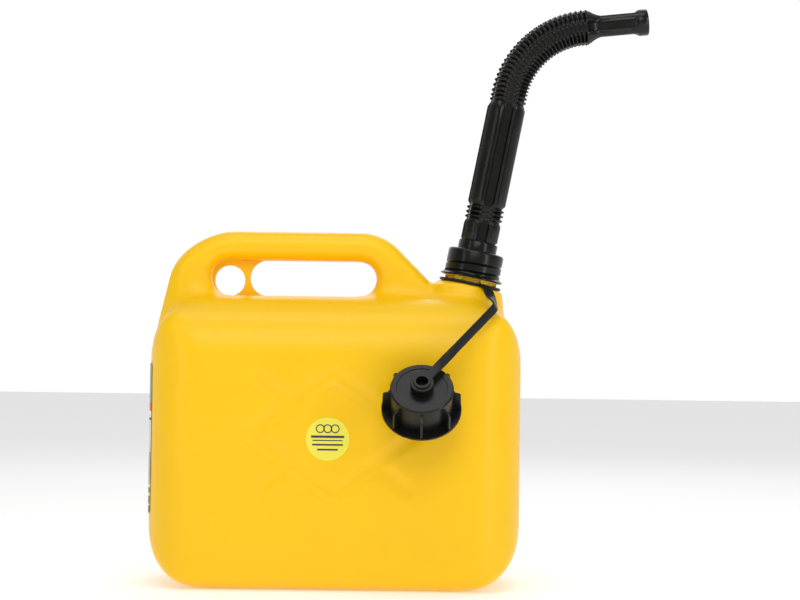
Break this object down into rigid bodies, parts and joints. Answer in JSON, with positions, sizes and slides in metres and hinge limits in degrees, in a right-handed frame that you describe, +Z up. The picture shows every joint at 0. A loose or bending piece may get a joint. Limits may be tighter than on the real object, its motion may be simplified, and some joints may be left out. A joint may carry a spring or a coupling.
{
  "type": "jerry can",
  "caption": "Plastic fuel can with a moulded carrying handle, a screw-on pouring spout that bends on a bellows, and a screw cap tethered to the neck by a strap.",
  "frame": {"origin": "middle of the can's underside, on the surface that it stands on", "axes": "+X towards the spout end, -Y towards the front face that the cap hangs before, +Z up"},
  "size_m": [0.3581, 0.1808, 0.4221],
  "materials": {
    "can_polyethylene": "satin blow-moulded, yellow",
    "spout_polyethylene": "satin blow-moulded, black",
    "cap_polypropylene": "satin moulded, black",
    "tether_polyethylene": "satin moulded, black",
    "gasket_rubber": "matt",
    "seal_foam": "matt, off-white",
    "sticker_vinyl": "printed vinyl",
    "label_paper": "printed, semi-matt"
  },
  "bodies": {
    "can": {"can_body": "can_polyethylene", "front_sticker": "sticker_vinyl", "side_label": "label_paper"},
    "gasket": {"spout_gasket": "gasket_rubber"},
    "spout_base": {"spout_base": "spout_polyethylene"},
    "spout_tube": {"spout_tube": "spout_polyethylene"},
    "bellows_1": {"bellows_link_1": "spout_polyethylene"},
    "bellows_2": {"bellows_link_2": "spout_polyethylene"},
    "bellows_3": {"bellows_link_3": "spout_polyethylene"},
    "bellows_4": {"bellows_link_4": "spout_polyethylene"},
    "bellows_5": {"bellows_link_5": "spout_polyethylene"},
    "nozzle": {"nozzle": "spout_polyethylene"},
    "tether_ring": {"tether_ring": "tether_polyethylene"},
    "tether_upper": {"tether_upper_band": "tether_polyethylene"},
    "tether_lower": {"tether_lower_band": "tether_polyethylene"},
    "cap": {"cap": "cap_polypropylene", "cap_seal": "seal_foam"}
  },
  "joints": [
    {"name": "spout_rise", "type": "slide", "parent": "can", "child": "gasket", "axis": [0.1908, 0, 0.9816], "range_m": [0, 0.0135]},
    {"name": "spout_turn", "type": "hinge", "parent": "gasket", "child": "spout_base", "pos_m": [0.0959, 0, 0.2175], "axis": [0.1908, 0, 0.9816], "range_deg": [0, 810.5]},
    {"name": "lower_bellows_bend", "type": "hinge", "parent": "spout_base", "child": "spout_tube", "pos_m": [0.10612, 0, 0.27007], "axis": [0, 1, 0], "range_deg": [-5, 5]},
    {"name": "bellows_bend_1", "type": "hinge", "parent": "spout_tube", "child": "bellows_1", "pos_m": [0.12443, 0, 0.36426], "axis": [0, 1, 0], "range_deg": [-12.17, 3]},
    {"name": "bellows_bend_2", "type": "hinge", "parent": "bellows_1", "child": "bellows_2", "pos_m": [0.12962, 0, 0.3764], "axis": [0, 1, 0], "range_deg": [-12.17, 3]},
    {"name": "bellows_bend_3", "type": "hinge", "parent": "bellows_2", "child": "bellows_3", "pos_m": [0.13726, 0, 0.38717], "axis": [0, 1, 0], "range_deg": [-12.17, 3]},
    {"name": "bellows_bend_4", "type": "hinge", "parent": "bellows_3", "child": "bellows_4", "pos_m": [0.147, 0, 0.3961], "axis": [0, 1, 0], "range_deg": [-12.17, 3]},
    {"name": "bellows_bend_5", "type": "hinge", "parent": "bellows_4", "child": "bellows_5", "pos_m": [0.1584, 0, 0.40277], "axis": [0, 1, 0], "range_deg": [-12.17, 3]},
    {"name": "bellows_bend_6", "type": "hinge", "parent": "bellows_5", "child": "nozzle", "pos_m": [0.17095, 0, 0.40689], "axis": [0, 1, 0], "range_deg": [-12.17, 3]},
    {"name": "tether_turn", "type": "hinge", "parent": "can", "child": "tether_ring", "pos_m": [0.0959, 0, 0.2175], "axis": [0.1908, 0, 0.9816], "range_deg": [0, 60]},
    {"name": "strap_lift", "type": "hinge", "parent": "tether_ring", "child": "tether_upper", "pos_m": [0.10652, -0.02386, 0.21671], "axis": [-0.8974, -0.4053, 0.1744], "range_deg": [0, 80]},
    {"name": "strap_fold", "type": "hinge", "parent": "tether_upper", "child": "tether_lower", "pos_m": [0.1124, -0.0605, 0.2007], "axis": [-0.4524, -0.417, 0.7883], "range_deg": [0, 50]},
    {"name": "cap_swivel", "type": "hinge", "parent": "tether_lower", "child": "cap", "pos_m": [0.0609, -0.10576, 0.1472], "axis": [0, -0.7513, 0.66], "continuous": true}
  ],
  "couplings": [
    {"joint": "spout_turn", "follows": "spout_rise", "rad_per_m": 1047.2},
    {"joint": "bellows_bend_2", "follows": "bellows_bend_1", "ratio": 1},
    {"joint": "bellows_bend_3", "follows": "bellows_bend_1", "ratio": 1},
    {"joint": "bellows_bend_4", "follows": "bellows_bend_1", "ratio": 1},
    {"joint": "bellows_bend_5", "follows": "bellows_bend_1", "ratio": 1},
    {"joint": "bellows_bend_6", "follows": "bellows_bend_1", "ratio": 1}
  ]
}
